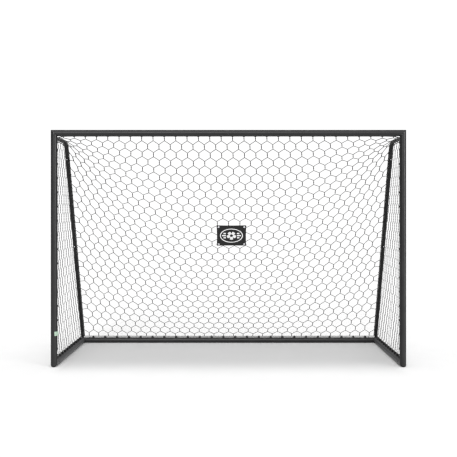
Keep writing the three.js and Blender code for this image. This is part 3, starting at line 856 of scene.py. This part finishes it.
def ribbon(centreline, wall, length):
    """A bent strip with its centreline in the plane (out, across), and its length along the tube.
    The section's corners are rounded off. Gives local (out, across, along) points and faces."""
    line = np.asarray(centreline)
    step = unit(np.gradient(line, axis=0))
    normal = np.stack([-step[:, 1], step[:, 0]], axis=1)
    round_off = 0.3 * wall
    section = []
    for corner_along, corner_across in ((1, 1), (1, -1), (-1, -1), (-1, 1)):
        a, b = corner_along * length / 2, corner_across * wall / 2
        first = (a - corner_along * round_off, b)
        second = (a, b - corner_across * round_off)
        section += [first, second] if corner_along * corner_across > 0 else [second, first]
    rings = [
        np.concatenate([line[k] + offset * normal[k], [along]])
        for k in range(len(line)) for along, offset in section
    ]
    return np.array(rings), ring_faces(len(line), len(section))


def dome(out, along):
    """A low round rivet head on the saddle, as local (out, across, along)."""
    steps = ((1.0, -0.001), (1.0, 0.35 * RIVET_H), (0.75, 0.8 * RIVET_H), (0.35, RIVET_H))
    profile = [(share * RIVET_R, height) for share, height in steps]
    turns = full_turn(12)
    points = [(out + h, r * math.cos(a), along + r * math.sin(a)) for r, h in profile for a in turns]
    return np.array(points), ring_faces(len(profile), len(turns))


def clip_parts(hook_r=HOOK_R, hook_length=HOOK_LENGTH, hook_wall=CLIP_WALL):
    """The clip's closed solids: a saddle on the tube, a hook round the rope and two rivets."""
    saddle_r = TUBE_R + CLIP_GAP + CLIP_WALL / 2
    saddle = arc((0, 0), saddle_r, -SADDLE_HALF_ANGLE, SADDLE_HALF_ANGLE, 9)
    hook = [(saddle_r - CLIP_GAP, -hook_r), (ROPE_FROM_AXIS - 0.001, -hook_r)]
    hook += [
        (ROPE_FROM_AXIS + hook_r * math.sin(a), -hook_r * math.cos(a))
        for a in np.linspace(HOOK_STARTS, HOOK_ENDS, 16)
    ]
    return [
        ribbon(saddle, CLIP_WALL, CLIP_LENGTH),
        ribbon(hook, hook_wall, hook_length),
        dome(saddle_r + CLIP_WALL / 2, RIVET_AT),
        dome(saddle_r + CLIP_WALL / 2, -RIVET_AT),
    ]


NET_CLIP = clip_parts()
GROUND_CLIP = clip_parts(hook_r=0.0064, hook_length=0.032, hook_wall=0.0062)


def add_clips(name, axis_points, out, along, clip=NET_CLIP, nylon=CLIP_NYLON):
    """Clips at points on a tube's axis. Out points from the axis to the rope."""
    out, along = Vector(out).normalized(), Vector(along)
    turn = Matrix((out, along.cross(out), along)).transposed()
    vertices, faces = [], []
    for point in axis_points:
        for local, part_faces in clip:
            start = len(vertices)
            vertices += [Vector(point) + turn @ Vector(v) for v in local]
            faces += [tuple(start + k for k in face) for face in part_faces]
    clips = add_piece(name, vertices, faces, nylon)
    clips.data.set_sharp_from_angle(angle=SHARP_FROM)


CLIP_EVERY = 0.117
GROUND_CLIP_EVERY = 2 * SIDE_COLUMN


def spaced(low, high, every):
    return np.linspace(low, high, max(2, round((high - low) / every) + 1))


def add_all_clips():
    top = [(x, FRONT_Y, CROSSBAR_Z) for x in back_knots[0, 1::2, 0]]
    add_clips("crossbar_net_clips", top, (0, TOP_ROPE_BEHIND, -TOP_ROPE_BELOW), (1, 0, 0))
    rear = [(x, REAR_Y, GROUND_Z) for x in spaced(-POST_X + 0.11, POST_X - 0.11, CLIP_EVERY)]
    rise = math.sqrt(ROPE_FROM_AXIS ** 2 - REAR_ROPE_BEFORE ** 2)
    add_clips("rear_bar_net_clips", rear, (0, -REAR_ROPE_BEFORE, rise), (-1, 0, 0))
    for side, sign in SIDES:
        x = sign * POST_X
        up_post = [(x, FRONT_Y, z) for z in spaced(GROUND_Z + 0.12, KNEE_Z - 0.10, CLIP_EVERY)]
        inward = (-sign * math.sin(POST_CLIP_TURN), math.cos(POST_CLIP_TURN), 0)
        add_clips(f"{side}_post_net_clips", up_post, inward, (0, 0, 1))
        back = [(x, y, GROUND_Z) for y in spaced(FRONT_Y + 0.10, REAR_Y - 0.12, GROUND_CLIP_EVERY)]
        add_clips(f"{side}_ground_bar_net_clips", back, (0, 0, 1), (0, -sign, 0), GROUND_CLIP, SHADED_GROUND_CLIP_NYLON)


add_all_clips()


# ---- Snap springs ----

LEAF_T = 0.001
LEAF_BEND_R = 0.0012


def leaf_path(near, far, tips, apex):
    """A V's centreline with a rounded bend, as (across the tube, along the slope) points."""
    towards = math.copysign(1.0, apex - tips)
    half_angle = math.atan2((far - near) / 2, abs(apex - tips))
    centre = ((near + far) / 2, apex - towards * LEAF_BEND_R / math.sin(half_angle))
    sweep = math.pi / 2 - half_angle
    bend = [
        (centre[0] + LEAF_BEND_R * math.sin(a), centre[1] + towards * LEAF_BEND_R * math.cos(a))
        for a in np.linspace(-sweep, sweep, 9)
    ]
    near_arm = np.linspace((near, tips), bend[0], 16)
    far_arm = np.linspace(bend[-1], (far, tips), 8)
    return np.concatenate([near_arm, bend[1:-1], far_arm])


def add_bending_spring(side, level):
    """The V spring, in place of the CAD's rigid one: a leaf whose near arm bears on the button, with a
    rounded bend, and whose far arm stays against the tube's wall."""
    button, spring = f"{side}_{level}_snap_button", f"{side}_{level}_snap_spring"
    node = frame["nodes"][spring]
    corners = np.array([node.matrix_world @ v.co for v in node.data.vertices])
    across, along = corners @ np.array(press), corners @ np.array(slope)
    near, far = across.min() + LEAF_T / 2, across.max() - LEAF_T / 2
    middle_x, width = np.mean(corners[:, 0]), np.ptp(corners[:, 0])
    tips = along[np.argmin(across)]
    bend_end = along[np.argmax(abs(along - tips))]
    apex = bend_end - math.copysign(2 * LEAF_T, bend_end - tips)
    local, faces = ribbon(leaf_path(near, far, tips, apex), LEAF_T, width)
    vertices = [press * p + slope * s + Vector((middle_x - x, 0, 0)) for p, s, x in local]
    leaf = add_piece(f"{side}_{level}_bending_spring", vertices, faces, STAINLESS,
                     replaces=(spring,), rides=False)
    leaf.data.set_sharp_from_angle(angle=SHARP_FROM)
    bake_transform(leaf)


for stay_side, _ in SIDES:
    for joint_level in LEVELS:
        add_bending_spring(stay_side, joint_level)


# ---- Banner ----

CLOTH_T = 0.0009
HEM_T = 0.0022
HEM_WIDTH = 0.022
HEM_EASE = 0.0015
EYELET_HOLE_R = 0.0058
EYELET_CLEAR = 0.0035
CORNER_R = 0.008
EDGE_PULL = 0.0022
MESH_STEP = 0.0035
PRINT_T, PRINT_SUNK = 0.00028, 0.0001
STITCH_R, STITCH_EVERY, STITCH_INSET = 0.00045, 0.0052, 0.004
STITCH_RISE, STITCH_SUNK, STITCH_FROM_EYELET = 0.00055, 0.0002, 0.0105
TIE_R, TIE_WRAP_R = 0.0011, 0.0019


def rounded_box(half_x, half_y, radius, pull=0.0, step=0.006):
    """A rounded rectangle, anticlockwise. Its sides bow inward by pull in their middle."""
    corners = [(half_x - radius, half_y - radius), (-half_x + radius, half_y - radius),
               (-half_x + radius, -half_y + radius), (half_x - radius, -half_y + radius)]
    outline = []
    for k, centre in enumerate(corners):
        turn = (k + 1) * math.pi / 2
        outline += arc(centre, radius, k * math.pi / 2, turn, 7)
        here = np.array(outline[-1])
        there = np.array(arc(corners[(k + 1) % 4], radius, turn, 0, 1)[0])
        inward = -np.array([math.cos(turn), math.sin(turn)])
        count = max(2, int(np.linalg.norm(there - here) / step))
        for t in np.linspace(0, 1, count + 1)[1:-1]:
            outline.append(tuple(here + (there - here) * t + inward * pull * math.sin(math.pi * t)))
    return outline


def inside(polygon, points):
    """Which points lie inside a polygon, by counting crossings."""
    polygon = np.asarray(polygon)
    x, y = points[:, 0], points[:, 1]
    found = np.zeros(len(points), bool)
    for (x0, y0), (x1, y1) in zip(polygon, np.roll(polygon, -1, axis=0)):
        if y0 != y1:
            found ^= ((y0 > y) != (y1 > y)) & (x < (x1 - x0) * (y - y0) / (y1 - y0) + x0)
    return found


def triangulate(outline, holes=(), lines=(), step=MESH_STEP):
    """Even triangles over an outline with holes. Lines are closed loops that edges must follow."""
    loops = [list(outline), *map(list, holes), *map(list, lines)]
    points, edges = [], []
    for loop in loops:
        start = len(points)
        points += loop
        edges += [(start + k, start + (k + 1) % len(loop)) for k in range(len(loop))]
    low, high = np.min(outline, axis=0), np.max(outline, axis=0)
    grid = np.array([
        (x + (row % 2) * step / 2, y)
        for row, y in enumerate(np.arange(low[1], high[1], step * 0.87))
        for x in np.arange(low[0], high[0], step)
    ])
    fixed = np.array(points)
    if len(grid):
        gap = np.min(np.linalg.norm(grid[:, None, :] - fixed[None], axis=2), axis=1)
        grid = grid[(gap > step * 0.6) & inside(outline, grid)]
    points += [tuple(p) for p in grid]
    made = delaunay_2d_cdt([Vector(p) for p in points], edges, [], 1, 1e-7)
    vertices = np.array([tuple(v) for v in made[0]])
    faces = np.array([f for f in made[2] if len(f) == 3])
    centres = vertices[faces].mean(axis=1)
    keep = inside(outline, centres)
    for hole in holes:
        keep &= ~inside(hole, centres)
    faces = faces[keep]
    a, b, c = (vertices[faces[:, k]] for k in range(3))
    area = (b[:, 0] - a[:, 0]) * (c[:, 1] - a[:, 1]) - (b[:, 1] - a[:, 1]) * (c[:, 0] - a[:, 0])
    faces[area < 0] = faces[area < 0][:, ::-1]
    return vertices, faces[np.abs(area) > 1e-12]


def add_plate(name, outline, place, finish, holes=(), lines=(), step=MESH_STEP, replaces=()):
    """A thin closed solid over a flat outline. Place(x, y, 0 or 1) gives its back and front points."""
    flat, triangles = triangulate(outline, holes, lines, step)
    used = np.unique(triangles)
    number = np.full(len(flat), -1)
    number[used] = np.arange(len(used))
    flat, triangles = flat[used], number[triangles]
    count = len(flat)
    vertices = np.concatenate([place(flat[:, 0], flat[:, 1], 1), place(flat[:, 0], flat[:, 1], 0)])
    faces = [tuple(map(int, t)) for t in triangles]
    faces += [tuple(int(v) + count for v in t[::-1]) for t in triangles]
    sides = {(a, b) for t in triangles.tolist() for a, b in zip(t, t[1:] + t[:1])}
    faces += [(b, a, a + count, b + count) for a, b in sorted(sides) if (b, a) not in sides]
    uv = [flat[v % count] for face in faces for v in face]
    plate = add_piece(name, vertices, faces, finish, uv, replaces)
    plate.data.set_sharp_from_angle(angle=math.radians(50))
    return plate


def fold(height, phase, distance, spread):
    return height * np.sin(phase) * np.exp(-(distance / spread) ** 2)


def wrinkles(x, y):
    """The cloth's gentle relief: a slight belly, and folds that run from eyelet to eyelet."""
    u, v = x / (BANNER_W / 2), y / (BANNER_H / 2)
    hold = np.ones_like(x)
    for eyelet_x, eyelet_y in EYELETS:
        hold *= 1 - np.exp(-(np.hypot(x - eyelet_x, y - eyelet_y) / EYELET_INSET) ** 2)
    belly = 0.0020 * np.cos(u * math.pi / 2) * np.cos(v * math.pi / 2)
    top_fold = fold(0.0011, 5.2 * math.pi * (v - 0.18 * np.cos(1.4 * u)), v - 0.72, 0.4)
    low_fold = fold(0.0009, 4.1 * math.pi * (v + 0.22 * np.cos(1.7 * u + 0.4)), v + 0.75, 0.4)
    side_fold = fold(0.0008, 7.0 * u + 2.6 * v, np.abs(u) - 0.8, 0.3)
    return hold * (belly + top_fold + low_fold + side_fold)


def edge_distance(x, y):
    return np.minimum(BANNER_W / 2 - np.abs(x), BANNER_H / 2 - np.abs(y))


def cloth_half(x, y):
    """Half the cloth's thickness, which is double in the folded hem."""
    share = np.clip((HEM_WIDTH + HEM_EASE - edge_distance(x, y)) / HEM_EASE, 0, 1)
    share = share * share * (3 - 2 * share)
    rim = np.clip(edge_distance(x, y) / 0.0015, 0.35, 1)
    return (CLOTH_T + (HEM_T - CLOTH_T) * share) / 2 * rim


def on_banner(x, y, height):
    return banner_centre + np.outer(x, banner_right) + np.outer(y, banner_up) + np.outer(height, banner_out)


def cloth_place(x, y, front):
    return on_banner(x, y, wrinkles(x, y) + cloth_half(x, y) * (1 if front else -1))


def print_place(x, y, front):
    lift = PRINT_T if front else -PRINT_SUNK
    return on_banner(x, y, wrinkles(x, y) + cloth_half(x, y) + lift)


def ellipse(half_x, half_y):
    return [(half_x * math.cos(a), half_y * math.sin(a)) for a in full_turn(96)]


def add_cloth():
    holes = [arc(eyelet, EYELET_HOLE_R, 0, 2 * math.pi, 21)[:-1] for eyelet in EYELETS]
    outline = rounded_box(BANNER_W / 2, BANNER_H / 2, CORNER_R, EDGE_PULL)
    hem = [
        [
            point for point in rounded_box(BANNER_W / 2 - inset, BANNER_H / 2 - inset, 0.003)
            if all(math.dist(point, eyelet) > EYELET_HOLE_R + EYELET_CLEAR for eyelet in EYELETS)
        ]
        for inset in (HEM_WIDTH, HEM_WIDTH + HEM_EASE)
    ]
    return add_plate("banner_cloth", outline, cloth_place, CLOTH, holes, hem, replaces=["banner"])


def add_stitches():
    """A lockstitch seam along the hem: short thread bars with gaps between them."""
    inset = HEM_WIDTH - STITCH_INSET
    loop = np.array(rounded_box(BANNER_W / 2 - inset, BANNER_H / 2 - inset, 0.004))
    line = np.concatenate([loop, loop[:1]])
    count = round(travel_along(line)[-1] / STITCH_EVERY)
    seam = resample(line, 6 * count + 1)
    arch = STITCH_RISE * np.sin(np.linspace(0, math.pi, 5)) - STITCH_SUNK
    thread = Cords(STITCH_R, 6)
    for k in range(count):
        x, y = seam[6 * k:6 * k + 5].T
        if np.min(np.hypot(np.abs(x) - EYELET_X, np.abs(y) - EYELET_Y)) >= STITCH_FROM_EYELET:
            thread.add(on_banner(x, y, wrinkles(x, y) + cloth_half(x, y) + arch), banner_out)
    return thread.piece("banner_hem_stitches", THREAD, "banner")


RING_X, RING_Y, RING_BAND = 0.103, 0.072, 0.008
BALL_R = 0.041
PENTAGON_R = 0.0140
SEAM = 0.0016
BAR_HALF_HEIGHT = 0.0062


def ball_panels():
    """Five pale panels round a dark pentagon, with dark patches at the rim: a plain ball."""
    panels = []
    for k in range(5):
        start = math.pi / 2 + k * 2 * math.pi / 5
        stop = start + 2 * math.pi / 5
        bend = (start + stop) / 2
        shift = SEAM * np.array([math.cos(bend), math.sin(bend)])
        points = [(PENTAGON_R, start), (0.60 * BALL_R, start), (0.86 * BALL_R, start + 0.20)]
        points += [(BALL_R, a) for a in np.linspace(start + 0.25, stop - 0.25, 12)]
        points += [(0.86 * BALL_R, stop - 0.20), (0.60 * BALL_R, stop), (PENTAGON_R, stop)]
        panels.append([tuple(np.array([r * math.cos(a), r * math.sin(a)]) * 0.97 + shift) for r, a in points])
    return panels


def add_ink(name, outline, holes=(), step=0.003):
    return add_plate(f"banner_print_{name}", outline, print_place, INK, holes, step=step)


def add_print():
    """A plain emblem: an oval band, a ball and three short bars on each side of it."""
    inner = ellipse(RING_X - RING_BAND, RING_Y - RING_BAND)
    pieces = [add_ink("band", ellipse(RING_X, RING_Y), [inner], MESH_STEP)]
    pieces += [add_ink(f"ball_{k}", panel) for k, panel in enumerate(ball_panels(), start=1)]
    near = BALL_R + 0.008
    for side, sign in SIDES:
        for k, (height, reach) in enumerate(((0.022, 0.071), (0.0, 0.085), (-0.022, 0.071)), start=1):
            box = rounded_box((reach - near) / 2, BAR_HALF_HEIGHT, 0.002)
            bar = [(x + sign * (near + reach) / 2, y + height) for x, y in box]
            pieces.append(add_ink(f"{side}_bar_{k}", bar))
    return pieces


def smooth_loop(points, count):
    """A closed curve through the points (Catmull-Rom)."""
    points = np.asarray(points)
    made = []
    for k in range(len(points)):
        p0, p1, p2, p3 = (points[(k + j - 1) % len(points)] for j in range(4))
        for t in np.linspace(0, 1, count, endpoint=False):
            made.append(0.5 * (2 * p1 + (p2 - p0) * t + (2 * p0 - 5 * p1 + 4 * p2 - p3) * t * t
                               + (3 * p1 - p0 - 3 * p2 + p3) * t ** 3))
    return np.array(made)


def add_ties():
    """A cord loop through each eyelet, round the strip outside it and a cord of the net."""
    knots = back_knots.reshape(-1, 3)
    out = banner_out
    ties = []
    for number, (sx, sy) in enumerate(((-1, 1), (1, 1), (-1, -1), (1, -1)), start=1):
        eyelet = on_banner(sx * EYELET_X, sy * EYELET_Y, 0.0)[0]
        aside = unit(sx * banner_right + 0.35 * sy * banner_up)
        wanted = eyelet + 0.016 * aside - 0.006 * out
        knot = knots[np.argmin(np.linalg.norm(knots - wanted, axis=1))]
        depth = max(0.004, -float((knot - eyelet) @ out)) + 0.0045
        loop = [
            eyelet + forward * out + sideways * aside
            for forward, sideways in (
                (0.0045, 0.001),
                (0.0042, 0.012),
                (0.0005, 0.0215),
                (-depth, 0.6 * ((knot - eyelet) @ aside + 0.012)),
                (0.001 - depth, 0.004),
                (-0.001, -0.0006),
            )
        ]
        cord = Cords(TIE_R, 8)
        across = unit(np.cross(aside, out))
        cord.add(smooth_loop(loop, 9), across, closed=True)
        turns = full_turn(18)
        circle = TIE_WRAP_R * (np.outer(np.cos(turns), out) + np.outer(np.sin(turns), across))
        for shift in (-0.0012, 0.0012):
            centre = eyelet + 0.0044 * out + (0.0065 + shift) * aside
            cord.add(centre + circle, aside, closed=True)
        ties.append(cord.piece(f"banner_tie_{number}", LACE_YARN, "net"))
    return ties


banner = add_cloth()
banner_extras = [add_stitches(), *add_print(), *add_ties()]


# ---- Label on the left post ----

LABEL_R = TUBE_R + 0.0003
LABEL_HEIGHT = 0.036
LABEL_Z = 0.281
LABEL_START = math.radians(20)
LABEL_LEAVES = math.radians(62)
LABEL_FREE = 0.021
LABEL_T = 0.0004
LABEL_CURL = 5.0


def label_place(x, y, front):
    """X runs round the post from its front to its inner side, and then straight off it."""
    r = LABEL_R
    wrapped = np.minimum(x / r + LABEL_START, LABEL_LEAVES)
    free = np.maximum(x - r * (LABEL_LEAVES - LABEL_START), 0)
    lift = LABEL_T if front else 0.0
    out = np.stack([np.sin(wrapped), -np.cos(wrapped)], axis=1)
    onward = np.stack([np.cos(wrapped), np.sin(wrapped)], axis=1)
    curl = LABEL_CURL * free ** 2
    flat = (r + lift + curl)[:, None] * out + free[:, None] * onward
    return np.stack([flat[:, 0] - POST_X, flat[:, 1] + FRONT_Y, LABEL_Z + y], axis=1)


def add_label():
    length = LABEL_R * (LABEL_LEAVES - LABEL_START) + LABEL_FREE
    outline = [(x + length / 2, y) for x, y in rounded_box(length / 2, LABEL_HEIGHT / 2, 0.003)]
    add_plate("post_label", outline, label_place, LABEL, step=0.003)


add_label()


# ---- Floor and light ----

FLOOR_HALF = 40.0


def add_floor():
    corners = [(x * FLOOR_HALF, y * FLOOR_HALF, 0) for x, y in ((-1, -1), (1, -1), (1, 1), (-1, 1))]
    mesh = bpy.data.meshes.new("floor")
    mesh.from_pydata(corners, [], [(0, 1, 2, 3)])
    mesh.materials.append(floor_with_painted_shadow("floor paint with painted shadow"))
    put_in_scene("floor", mesh)


def add_far_light(name, towards, width, strength):
    """Soft light from so far away that it is even over the whole floor."""
    data = bpy.data.lights.new(name, "SUN")
    data.angle = math.radians(width)
    data.energy = strength
    put_in_scene(name, data).rotation_euler = Vector(towards).to_track_quat("-Z", "Y").to_euler()


def add_white_room(strength):
    """A white room all round. The camera sees it pure white; it lights the goal more softly."""
    world = bpy.data.worlds.new("white room")
    bpy.context.scene.world = world
    world.use_nodes = True
    nodes, links = world.node_tree.nodes, world.node_tree.links
    ray = nodes.new("ShaderNodeLightPath")
    seen = nodes.new("ShaderNodeMapRange")
    seen.inputs["To Min"].default_value = strength
    seen.inputs["To Max"].default_value = 1.05
    links.new(ray.outputs["Is Camera Ray"], seen.inputs["Value"])
    links.new(seen.outputs["Result"], nodes["Background"].inputs["Strength"])
    nodes["Background"].inputs["Color"].default_value = (1, 1, 1, 1)


add_floor()
add_white_room(0.34)
add_far_light("front light", (0.12, 0.92, -0.37), 25, 1.60)
add_far_light("right light", (-0.77, 0.63, -0.11), 20, 1.80)
add_far_light("overhead light", (0.0, 0.25, -1.0), 90, 1.80)
bpy.context.scene.view_settings.view_transform = "Standard"
bpy.context.scene.cycles.filter_width = 1.35
